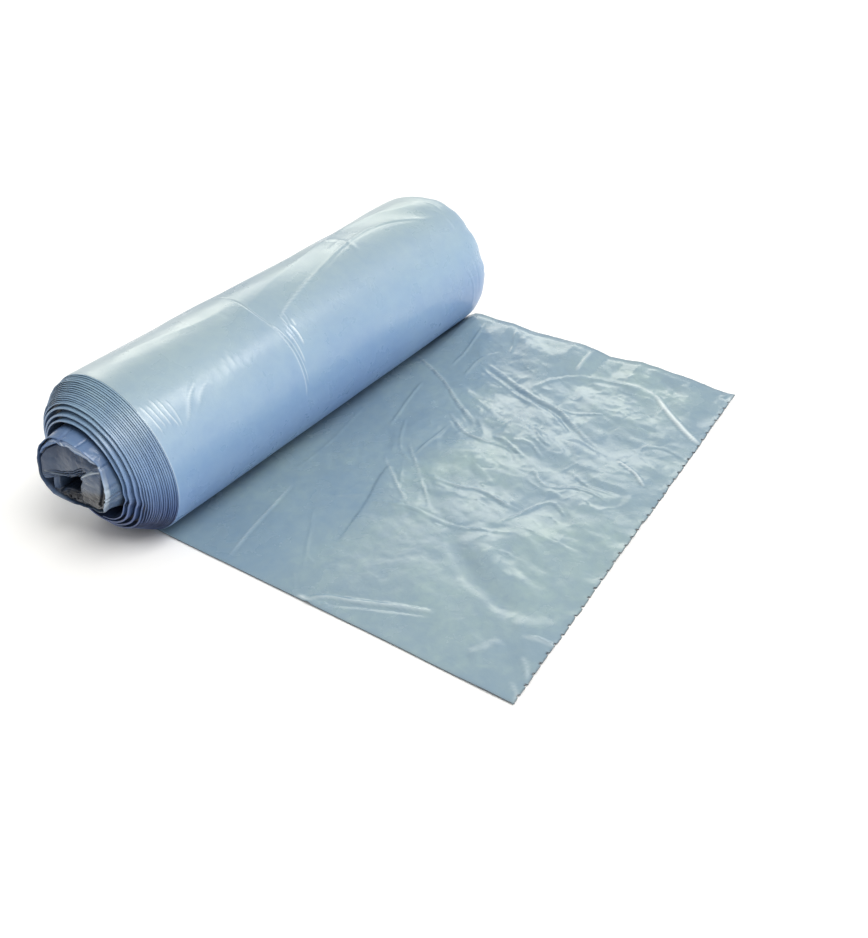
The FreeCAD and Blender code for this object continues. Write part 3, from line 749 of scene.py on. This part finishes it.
def make_core():
    n = 400
    ang = np.linspace(-180, 180, n, endpoint=False)
    rim_p = np.interp(ang, [q[0] for q in RIM], [q[1] for q in RIM])
    rim_r = np.interp(ang, [q[0] for q in RIM], [q[2] for q in RIM])
    turn = (ang + 180) / 360
    rim_p = rim_p + 0.30 * noise(turn * 18, 0.4, 71, 18) + 0.40 * facets(turn * 12, 0.3 + 0 * turn, 72, 12)
    rim_r = rim_r + 0.20 * noise(turn * 14, 0.7, 73, 14) + 0.9 * bell(ang, -28, 30)
    t = np.radians(ang)
    sx, cz = np.sin(t), np.cos(t)
    rows, tone = [], []

    def ring(rr, pp, light=1.0):
        rows.append(np.stack([rr * sx, -HALF - pp, ZC + rr * cz], -1))
        tone.append(np.broadcast_to(light, ang.shape))

    # outside of the bundle, with pleats along the axis
    pleat = facets(turn * 16, 0.2 + 0 * turn, 74, 16)
    fine = facets(turn * 34, 0.6 + 0 * turn, 75, 34)
    for f in np.linspace(0, 1, 24):
        q = 3.0 + (rim_p - 1.2 - 3.0) * f
        rr = 24.2 + (rim_r - 24.2) * smooth(f * 1.05) + 1.5 * bell(ang, -25, 42) * math.sin(math.pi * min(f * 1.1, 1.0))
        crumple = 0.5 * facets(turn * 20, q / 5.0, 76, 20) + 0.25 * facets(turn * 44, q / 2.6, 77, 44)
        rr = rr + f * (0.45 * pleat + 0.22 * fine) + (0.2 + 0.5 * f) * crumple * 0.8
        # short tucks in the rim
        for c, size in ((96, 1.0), (103, 0.7), (58, 0.9), (20, 0.5), (-8, 0.8), (84, 0.5)):
            rr = rr - size * 0.8 * bell(ang, c, 1.6) * smooth((f - 0.55) / 0.3)
        # painted shade: darker deep inside, underneath and on the left, lighter on top
        under = 1 - 0.55 * smooth((np.abs(ang) - 118) / 30.0)
        ring(rr, q, (0.15 + 0.85 * smooth((q - 15.0) / 3.5)) * under * (1 - 0.45 * f * bell(ang, -92, 42))
             * (0.60 + 0.25 * bell(ang, 0, 55)))
    last = rr
    left = 1 - 0.62 * bell(ang, -92, 42)
    for a in np.linspace(0, 180, 9)[1:]:
        w = 0.24
        ring(last - w + w * math.cos(math.radians(a)), rim_p - 1.2 + 1.2 * math.sin(math.radians(a)),
             0.85 * under * left)
    inner = last - 0.48
    # the inner lip is painted dark as shade
    ring(inner - 0.05, rim_p - 2.6, 0.15)
    # the mouth, from the rim in to the middle of the hollow
    cx, czz = -6.0, -5.0
    ix, iz = (inner - 0.1) * sx, (inner - 0.1) * cz
    for s in np.linspace(1.0, 0.02, 104):
        x = cx + (ix - cx) * s
        z = czz + (iz - czz) * s
        p, light = closure(x, z)
        blend = smooth((1.0 - s) / 0.05)
        p = (rim_p - 3.6) * (1 - blend) + p * blend
        light = 0.15 * (1 - blend) + light * blend
        rows.append(np.stack([x, -HALF - p, ZC + z], -1))
        tone.append(light)
    p = np.array(rows)
    x, z, front = p[..., 0], p[..., 2] - ZC, np.arange(len(p))[:, None] >= 24
    # painted highlights along the folded edges in the mouth
    pale = 0.0
    for points, width, high in EDGE_HIGHLIGHTS:
        pale = pale + high * smooth(1 - line_distance(x, z, points) / width)
    # painted highlight along the crease down the right-hand side, just outside the rim
    side = np.arange(len(p))[:, None]
    pale = np.where(front, pale, 0) + 0.45 * ((side >= 22) & (side <= 28)) * bell(ang, 96, 26)[None, :]
    return grid("middle_turns", p, close_v=True, flip=True, shade=np.array(tone), pale=np.clip(pale, 0, 1))


def make_core_far():
    """The middle turns seen from the far end: sunk, crumpled, with a hollow."""
    n = 300
    ang = np.linspace(-180, 180, n, endpoint=False)
    turn = (ang + 180) / 360
    t = np.radians(ang)
    sx, cz = np.sin(t), np.cos(t)
    # tone is painted shade: darker deep in and in the hollow
    rows, tone = [], []
    rim_y = HALF - 24.5 + 1.4 * noise(turn * 5, 0.4, 81, 5) + 0.8 * facets(turn * 11, 0.3 + 0 * turn, 82, 11)
    rim_r = 24.2 + 0.6 * noise(turn * 9, 0.7, 83, 9)
    for f in np.linspace(0, 1, 10):
        y = HALF - 34.0 + (rim_y - (HALF - 34.0)) * f
        rr = 25.4 + (rim_r - 25.4) * f + f * 0.5 * facets(turn * 20, y / 4.0, 84, 20)
        rows.append(np.stack([rr * sx, y, ZC + rr * cz], -1))
        tone.append(np.full(n, 0.2 + 0.7 * f))
    for a in np.linspace(0, 180, 9)[1:]:
        w = 0.3
        r2 = rr - w + w * math.cos(math.radians(a))
        rows.append(np.stack([r2 * sx, rim_y + 0.9 * math.sin(math.radians(a)), ZC + r2 * cz], -1))
        tone.append(np.full(n, 1.1))
    inner = rr - 0.6
    cx, czz = -3.0, -1.5
    ix, iz = inner * sx, inner * cz
    for s in np.linspace(1.0, 0.02, 80):
        x = cx + (ix - cx) * s
        z = czz + (iz - czz) * s
        hole = sd_polygon(x, z, [(-17, -4), (-11, -0.6), (-4, 0), (3, 3.6), (9, 6.6), (11.6, 4.6),
                                 (7, -1.6), (1, -5.4), (-7, -7.8), (-14, -7.4)])
        d = 2.6 + 0.15 * x + 1.5 * facets(x / 7.0 + 9, z / 5.0, 85) + 0.6 * facets(x / 3.0, z / 2.6, 86)
        d = d + 42.0 * smooth((-hole - 0.2) / 1.2) + 1.4 * smooth((1.5 - hole) / 1.5)
        blend = smooth((1.0 - s) / 0.08)
        rows.append(np.stack([x, rim_y - 1.8 * (1 - blend) - d * blend, ZC + z], -1))
        tone.append((1 - 0.95 * smooth((-hole + 0.6) / 1.4)) * (0.2 + 0.8 * blend))
    return grid("middle_turns_far_end", np.array(rows), close_v=True, shade=np.array(tone))


# ----------------------------------------------------------- the loose end
CREASES = [
    ([(20, 78), (52, 63), (73, 48), (97, 33)], 1.5, 0.95, "ridge"),
    ([(24, 74.8), (54, 60.4), (74, 45.4), (96, 30.5)], 1.5, -0.50, "ridge"),
    ([(77, 36), (96, 24), (111, 21), (117, 23)], 1.4, 0.80, "ridge"),
    ([(78, 33.6), (96, 21.9), (111, 18.8)], 1.4, -0.45, "ridge"),
    ([(64, 86), (91, 76), (112, 68), (130, 64), (149, 52), (168, 43)], 1.7, -0.80, "ridge"),
    ([(66, 88.6), (92, 78.6), (113, 70.6), (132, 66.6), (150, 55), (167, 45.6)], 1.7, 0.55, "ridge"),
    ([(66, 83), (90, 73.6), (111, 65.6), (129, 61.2), (147, 49.6)], 1.6, 0.35, "ridge"),
    ([(170, 104), (184, 92.5), (200, 81), (211, 74.5)], 2.4, 1.15, "ridge"),
    ([(181, 41), (195, 34.5), (204, 27)], 1.3, 0.95, "ridge"),
    ([(44, 54), (50, 30), (57, 8)], 1.3, 0.65, "ridge"),
    ([(60, 18), (74, -5), (88, -14)], 1.1, 0.60, "ridge"),
    ([(85, 25), (86, 10), (86, -8)], 1.1, 0.60, "ridge"),
    ([(73, -17), (90, -30), (108, -43)], 1.2, 0.70, "ridge"),
    ([(79, -19), (91, -29), (103, -40)], 1.0, -0.40, "ridge"),
    ([(77, -1), (101, -22), (124, -43)], 1.1, 0.60, "ridge"),
    ([(82, -12), (90, -24), (98, -37)], 1.0, 0.40, "ridge"),
    ([(89, -14), (101, -22), (114, -32)], 1.0, -0.45, "ridge"),
    ([(92, -53), (111, -46), (141, -47), (168, -38)], 1.2, 0.55, "ridge"),
    ([(103, -19.6), (124, -18.6), (135, -15.5), (158, -20.8)], 1.3, 0.70, "ridge"),
    ([(103, -22), (124, -21), (135, -18), (157, -23)], 1.2, -0.35, "ridge"),
    ([(147.8, 12.2), (161.8, 3.9), (177.5, 9.6), (196, 6.5)], 1.3, 0.65, "ridge"),
    ([(166, 21), (179, 14), (196, 13.5)], 1.2, 0.50, "ridge"),
    ([(162, -26), (170, -7), (183, -13)], 1.2, 0.50, "ridge"),
    ([(79, -19), (84, -36), (91, -54), (100, -86)], 2.0, 0.42, "step"),
    ([(79, -19), (84, -36), (91, -54), (100, -86)], 1.0, 0.28, "ridge"),
    ([(118, 124), (119, 104)], 1.2, 0.85, "ridge"),
    ([(105, 76), (112, 90), (120, 98), (133, 104), (151, 105), (170, 103)], 2.6, 0.45, "soft"),
    ([(44, 120), (48, 95), (49, 76)], 1.2, 0.65, "ridge"),
    ([(66, 122), (75, 102)], 1.2, 0.65, "ridge"),
    ([(113, 27), (120, 27), (128, 24), (138, 19)], 1.6, 0.80, "ridge"),
    ([(118, 21), (127, 20), (136, 13)], 1.4, -0.55, "ridge"),
    ([(125, 48), (138, 37), (144, 34)], 1.3, 0.65, "ridge"),
    ([(128, 65), (144, 70), (154, 74)], 1.3, 0.50, "ridge"),
    ([(124, 29), (134, 31), (147, 23)], 1.3, 0.60, "ridge"),
    ([(62, 71), (61, 88), (68, 100)], 1.2, 0.55, "ridge"),
    ([(48, -62), (53, -86), (57, -104), (62, -123)], 0.9, 0.34, "ridge"),
    ([(50, -62), (55, -86), (59, -104), (64, -123)], 1.0, -0.20, "ridge"),
    ([(70, -70), (87, -93), (100, -111)], 1.0, 0.30, "ridge"),
    ([(78, -78), (90, -98), (104, -106)], 0.9, 0.22, "ridge"),
    ([(141, -45), (153.6, -62), (173, -74.5), (190, -80), (200, -84)], 7.0, -0.75, "soft"),
    ([(150, -40), (164, -54), (184, -65), (206, -70)], 8.0, 0.65, "soft"),
    ([(203, -90), (212, -85), (222, -80)], 8.0, 0.62, "soft"),
    ([(198, -115), (203, -108), (205, -100)], 6.0, 0.50, "soft"),
    ([(114, -126), (121.8, -118.9), (134.8, -114.6), (146.9, -109.5), (159, -104.7), (170, -100.9)], 2.0, 0.62, "soft"),
    ([(119, -125), (136, -117), (148, -111.9), (160, -107), (170, -103)], 2.0, -0.40, "soft"),
    ([(113, -128), (119, -125), (126, -122)], 1.3, 1.0, "ridge"),
    ([(110, -126), (116, -122), (121, -120)], 1.1, 0.5, "ridge"),
    ([(159, -33), (169, -8)], 1.1, 0.35, "ridge"),
    ([(171, -31), (188, -33), (204, -34)], 1.1, 0.35, "ridge"),
    ([(72, -59), (85, -49)], 1.0, 0.28, "ridge"),
    ([(95, -112), (107, -124)], 1.0, 0.30, "ridge"),
    ([(212, -92), (220, -90), (227, -92)], 1.1, 0.45, "ridge"),
    ([(217, -104), (222, -108), (226, -114)], 1.1, 0.40, "ridge"),
    ([(186, 58), (198, 62), (212, 58)], 1.3, 0.40, "ridge"),
    ([(30, 20), (38, -20), (40, -52)], 1.4, 0.24, "ridge"),
    ([(198, 126), (204, 122)], 1.4, 0.8, "ridge"),
]

HIGHLIGHT_STREAKS = [  # painted highlights along folds: points; half width, strength
    ([(170, 104), (184, 92.5), (200, 81), (211, 74.5)], 2.0, 0.90),
    ([(150, 106.5), (160, 107), (170, 104)], 1.5, 0.35),
    ([(181, 41), (195, 34.5), (204, 27)], 1.1, 0.65),
    ([(118, 124), (119, 104)], 1.0, 0.45),
    ([(20, 78), (52, 63), (73, 48), (97, 33)], 1.0, 0.30),
    ([(77, 36), (96, 24), (111, 21), (117, 23)], 1.1, 0.30),
    ([(66, 88.6), (92, 78.6), (113, 70.6), (132, 66.6), (150, 55), (167, 45.6)], 0.9, 0.28),
    ([(48, -62), (53, -86), (57, -104), (62, -123)], 0.8, 0.22),
    ([(73, -17), (90, -30), (108, -43)], 0.8, 0.22),
    ([(77, -1), (101, -22), (124, -43)], 0.8, 0.20),
    ([(103, -19.6), (124, -18.6), (135, -15.5), (158, -20.8)], 0.8, 0.25),
    ([(113, -127), (121.8, -118.9), (134.8, -114.6), (146.9, -109.5), (159, -104.7), (170, -100.9)], 1.5, 0.26),
    ([(109, -125.6), (114, -124.4), (120, -123.4)], 1.1, 0.55),
    ([(210, -93), (219, -91), (226, -91)], 1.8, 0.22),
    ([(217, -103), (222, -107), (226, -113)], 1.8, 0.20),
    ([(221, -117), (226, -121), (228, -125)], 1.5, 0.22),
    ([(205, 124), (208, 118)], 1.4, 0.35),
    ([(147.8, 12.2), (161.8, 3.9), (177.5, 9.6), (196, 6.5)], 0.8, 0.22),
]

LIFT_X = [8, 14, 20, 26, 31, 36, 48, 60, 72, 84, 95, 106, 117, 128, 139, 149, 159, 169, 179, 189, 199, 210, 232]
LIFT_Z = [0.0, 1.0, 3.2, 6.4, 8.6, 9.2, 8.0, 8.2, 6.8, 7.0, 7.2, 7.8, 6.2, 3.6, 3.6, 4.9, 4.6, 3.7, 2.9, 2.1, 0.9, 0.6, 0.4]


def wrinkles(u, v, seed, sharp=0.10):
    """Thin broken crease lines, where smooth noise passes through nothing."""
    uu = u + 0.5 * noise(u * 0.7, v * 0.7, seed + 1)
    vv = v + 0.5 * noise(u * 0.7 + 9.1, v * 0.7, seed + 2)
    n = noise(uu, vv, seed)
    mask = smooth(noise(u * 0.55 + 4.7, v * 0.55, seed + 3) * 1.6 + 0.35)
    return np.exp(-np.abs(n) / sharp) * mask


def tail_z(x, y):
    """Top of the loose end above the floor."""
    near = smooth((y - NEAR + 2.0) / 34.0)
    busy = 0.10 + 0.90 * smooth((x - 36.0) / 40.0) * smooth((y + 66.0 + 0.14 * x) / 64.0) \
        * (1 - 0.45 * smooth((x - 178.0) / 30.0))
    low_right = smooth((x - 110.0) / 60.0) * smooth((-30.0 - y) / 40.0)
    c, s = math.cos(math.radians(-24)), math.sin(math.radians(-24))
    u, v = x * c + y * s, -x * s + y * c
    z = 1.10 + 0.62 * near * noise(x / 52.0 + 3.1, y / 44.0 + 1.7, 101)
    z = z + near * (0.18 + 0.40 * busy + 0.34 * low_right) * noise(u / 34.0, v / 17.0, 102)
    z = z + busy * (0.80 * facets(u / 27.0 + 5, v / 13.5 + 5, 103)
                    + 0.36 * facets(u / 12.5 + 2, v / 7.2 + 8, 106)
                    + 0.19 * facets(u / 7.0, v / 4.4, 109)
                    + 0.24 * wrinkles(u / 24.0, v / 10.0, 131, 0.055)
                    + 0.20 * wrinkles(u / 12.0 + 3, v / 6.5, 141, 0.08)
                    - 0.16 * wrinkles(u / 16.0 + 8, v / 13.0 + 2, 151, 0.06))
    z = z + 0.10 * near * noise(u / 9.0, v / 6.0, 127) + 0.05 * near * noise(u / 4.5 + 3, v / 3.2, 128)
    z = z + (1 - busy) * (0.08 * facets(u / 26.0, v / 20.0, 112) + 0.04 * facets(x / 11.0, y / 9.0, 115)
                          + 0.05 * near * wrinkles(u / 30.0, v / 22.0, 161, 0.05))
    z = z + low_right * (0.26 * facets(u / 26.0 + 7, v / 18.0, 118)
                         + 0.07 * wrinkles(u / 20.0, v / 12.0, 171, 0.07))
    for points, width, high, kind in CREASES:
        z = z + crease(x, y, points, width, high, kind)
    # the far edge stands off the floor in shallow waves
    w = smooth((y - 58.0) / 72.0) ** 1.25
    lift = np.interp(x, LIFT_X, LIFT_Z)
    z = z + w * lift
    z = np.where(z < 0.7, 0.35 + 0.35 * np.exp(np.minimum(z - 0.7, 0) / 0.35), z)
    # under the roll it follows the film above it
    gap = ZC - np.sqrt(np.clip(R * R - x * x, 0, None))
    gap = np.where(x < R - 0.5, gap - 0.12, 99.0)
    z = np.where(x < 34.0, np.minimum(z, np.maximum(gap, 0.06)), z)
    return z


def torn_line(y):
    return X_NEAR + (X_FAR - X_NEAR) * (y - NEAR) / (FAR - NEAR)


def make_tail():
    # columns across the width: each nick of the torn end has its own
    ys = [NEAR]
    start = NEAR + 0.62 * NICK_PITCH
    count = 38
    half = NICK_WIDTH / 2
    marks = [-half - 0.10, -half + 0.02, 0.0, half - 0.02, half + 0.10, 2.2, 3.35, 4.5]
    for i in range(count):
        ys += [start + i * NICK_PITCH + m for m in marks]
    ys = [y for y in ys if y < FAR - 0.4] + [FAR]
    ys = np.unique(np.array([NEAR, NEAR + 1.2] + ys))
    rng = np.random.RandomState(7)
    depth = np.zeros(len(ys))
    for i in range(count):
        c = start + i * NICK_PITCH
        deep = NICK_DEPTH * rng.uniform(0.8, 1.25)
        depth = np.where(np.abs(ys - c) <= half, deep, depth)
    end = torn_line(ys) + 0.25 * noise(ys / 9.0, 0.4, 121) + 0.10 * noise(ys / 2.2, 0.1, 122)
    x0 = 5.0
    # rows: evenly to 6 mm from the end, then close together
    f = np.concatenate([np.linspace(0, 1, 272)[:-1] * 0.0 + np.linspace(0, 1, 272)[:-1]])
    near_end = np.array([-6.0, -4.4, -3.2, -2.4, -1.9, -1.4, -0.9, -0.45, 0.0])
    x = x0 + (end - 6.8 - x0)[None, :] * f[:, None]
    tailrows = end[None, :] + near_end[:, None] - depth[None, :] * smooth((near_end[:, None] + 4.6) / 3.0)
    x = np.concatenate([x, tailrows], 0)
    rows = x.shape[0]
    y = np.broadcast_to(ys[None, :], x.shape).copy()
    # edges of the web wander very little
    edge = 0.35 * noise(x / 40.0, 0.6, 123)
    y = y + edge * (np.abs(y) / 127.0) ** 3
    # beside the roll the far edge stays within the end of the roll
    y = y - 1.9 * smooth((34.0 - x) / 12.0) * smooth((y - 100.0) / 27.0)
    z = tail_z(x, y)
    last = np.clip((x - end[None, :] + 3.0) / 3.0, 0, 1)
    z = z + 0.30 * last * (0.5 + 0.7 * noise(ys[None, :] / 5.0, 0.9, 124))
    top = np.stack([x, y, z], -1)
    thick = np.minimum(0.60, z - 0.04)

    def lip(p, t, dx, dy):
        out = []
        for share, push in ((0.25, 1.0), (0.6, 1.0), (1.0, 0.4)):
            q = p.copy()
            q[..., 0] += dx * push
            q[..., 1] += dy * push
            q[..., 2] -= t * share
            out.append(q)
        return out
    right = lip(top[-1], thick[-1], 0.06, 0.0)
    top2 = np.concatenate([top, np.array(right)], 0)
    near = lip(top2[:, 0], np.concatenate([thick[:, 0], np.zeros(3)]), 0.0, -0.12)
    far = lip(top2[:, -1], np.concatenate([thick[:, -1], np.zeros(3)]), 0.0, 0.12)
    p = np.concatenate([np.stack(near[::-1], 1), top2, np.stack(far, 1)], 1)
    # painted shade on the cut edges of the film, darkest on the wall of the torn end
    tone = np.ones(p.shape[:2])
    tone[:, :3] = (0.25, 0.3, 0.4)
    tone[:, -3:] = (0.4, 0.3, 0.25)
    tone[-3:] = np.array([0.10, 0.06, 0.04])[:, None]
    tone[-4] = 0.40
    tone[-5] = 0.85
    pale = sum(crease(p[..., 0], p[..., 1], points, width, high, "soft")
               for points, width, high in HIGHLIGHT_STREAKS)
    ob = grid("loose_end", p, shade=tone, pale=np.clip(pale, 0, 1))
    # the lower plies of the folded web, just under the top one
    step_x = np.unique(np.concatenate([np.arange(0, rows, 3), [rows - 1]]))
    step_y = np.unique(np.concatenate([np.arange(0, len(ys), 2), [len(ys) - 1]]))
    under = top[np.ix_(step_x, step_y)].copy()
    under[..., 0] -= 2.4 * smooth((under[..., 0] - under[-1:, :, 0] + 12.0) / 12.0)
    under[..., 2] -= np.minimum(0.62, under[..., 2] - 0.03)
    low = grid("loose_end_under_plies", under, flip=True)
    return ob, low


# ------------------------------------------------------------------- build
skin = make_skin()
near_end = make_end("turn_edges_near_end", -1, 3)
far_end = make_end("turn_edges_far_end", +1, 3)
core = make_core()
core_far = make_core_far()
tail, under = make_tail()

for ob, mat in ((skin, MAT_SKIN), (near_end, MAT_END), (far_end, MAT_END), (core, MAT_MIDDLE),
                (core_far, MAT_MIDDLE), (tail, MAT_TAIL), (under, MAT_TAIL)):
    ob.data.materials.append(mat)
    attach(ob, "root")
    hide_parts("bin_bag_roll")

# ------------------------------------------------------- floor, light, view
fm = bpy.data.meshes.new("studio_floor")
fm.from_pydata([(-6, -6, 0), (6, -6, 0), (6, 6, 0), (-6, 6, 0)], [], [(0, 1, 2, 3)])
floor = bpy.data.objects.new("studio_floor", fm)
bpy.context.scene.collection.objects.link(floor)
mf = bpy.data.materials.new("pale_floor")
mf.use_nodes = True
b = mf.node_tree.nodes["Principled BSDF"]
b.inputs["Base Color"].default_value = (0.88, 0.89, 0.91, 1)
b.inputs["Roughness"].default_value = 0.75
b.inputs["Specular IOR Level"].default_value = 0.2
fm.materials.append(mf)

world = bpy.data.worlds.new("studio")
bpy.context.scene.world = world
world.use_nodes = True
wn = world.node_tree.nodes
wl = world.node_tree.links
wc = wn.new("ShaderNodeTexCoord")
wx = wn.new("ShaderNodeSeparateXYZ")
wr = wn.new("ShaderNodeValToRGB")
wl.new(wc.outputs["Generated"], wx.inputs[0])
wl.new(wx.outputs["Z"], wr.inputs["Fac"])
wl.new(wr.outputs["Color"], wn["Background"].inputs["Color"])
ramp = wr.color_ramp
ramp.elements[0].position = 0.0
ramp.elements[0].color = (0.86, 0.88, 0.92, 1)
ramp.elements[1].position = 1.0
ramp.elements[1].color = (0.38, 0.36, 0.33, 1)
for at, colour in ((0.15, (0.51, 0.53, 0.58, 1)), (0.45, (0.46, 0.45, 0.42, 1))):
    ramp.elements.new(at).color = colour


def area(name, place_, aim, size, power, colour):
    data = bpy.data.lights.new(name, "AREA")
    data.shape = "RECTANGLE"
    data.size, data.size_y = size
    data.energy = power
    data.color = colour
    ob = bpy.data.objects.new(name, data)
    bpy.context.scene.collection.objects.link(ob)
    ob.location = place_
    ob.rotation_mode = "QUATERNION"
    ob.rotation_quaternion = (Vector(aim) - Vector(place_)).to_track_quat("-Z", "Y")
    return ob


def sun(name, from_, angle, strength, colour):
    data = bpy.data.lights.new(name, "SUN")
    data.angle = math.radians(angle)
    data.energy = strength
    data.color = colour
    ob = bpy.data.objects.new(name, data)
    bpy.context.scene.collection.objects.link(ob)
    ob.rotation_mode = "QUATERNION"
    ob.rotation_quaternion = (-Vector(from_)).to_track_quat("-Z", "Y")
    return ob


sun("wide_key", (0.62, 0.05, 1.02), 35, 1.81, (1.0, 0.99, 0.97))
sun("wide_top", (0.0, 0.0, 1.0), 80, 0.58, (1.0, 0.96, 0.88))
area("back_left_panel", (-0.93, 1.10, 0.80), (0.05, 0.0, 0.03), (1.4, 0.50), 8.3, (1.0, 0.99, 0.86))
area("high_key", (0.60, 0.05, 1.02), (0.05, 0.0, 0.03), (0.6, 0.6), 1.1, (1.0, 0.94, 0.80))
area("near_glint", (0.66, 0.52, 0.97), (0.0, -0.10, 0.07), (0.34, 0.30), 2.4, (1.0, 0.97, 0.89))
area("far_right_fill", (1.25, 0.25, 0.55), (0.05, 0.0, 0.03), (0.8, 0.6), 2.1, (1.0, 0.96, 0.88))

cam_data = bpy.data.cameras.new("camera")
cam = bpy.data.objects.new("camera", cam_data)
bpy.context.scene.collection.objects.link(cam)
bpy.context.scene.camera = cam
yaw, pitch, roll = 0.867504, 0.610906, -0.099273
forward = Vector((-math.cos(yaw) * math.cos(pitch), math.sin(yaw) * math.cos(pitch), -math.sin(pitch)))
right = Vector((math.sin(yaw), math.cos(yaw), 0))
up = right.cross(forward)
r2 = right * math.cos(roll) + up * math.sin(roll)
u2 = -right * math.sin(roll) + up * math.cos(roll)
rot = Matrix((r2, u2, -forward)).transposed()
cam.matrix_world = Matrix.Translation((0.401190, -0.364452, 0.323283)) @ rot.to_4x4()
cam_data.sensor_width = 36.0
cam_data.lens = 1.6 * 671.9776 * 36.0 / 938.0
cam_data.clip_start = 0.01
bpy.context.scene.view_settings.view_transform = "Standard"
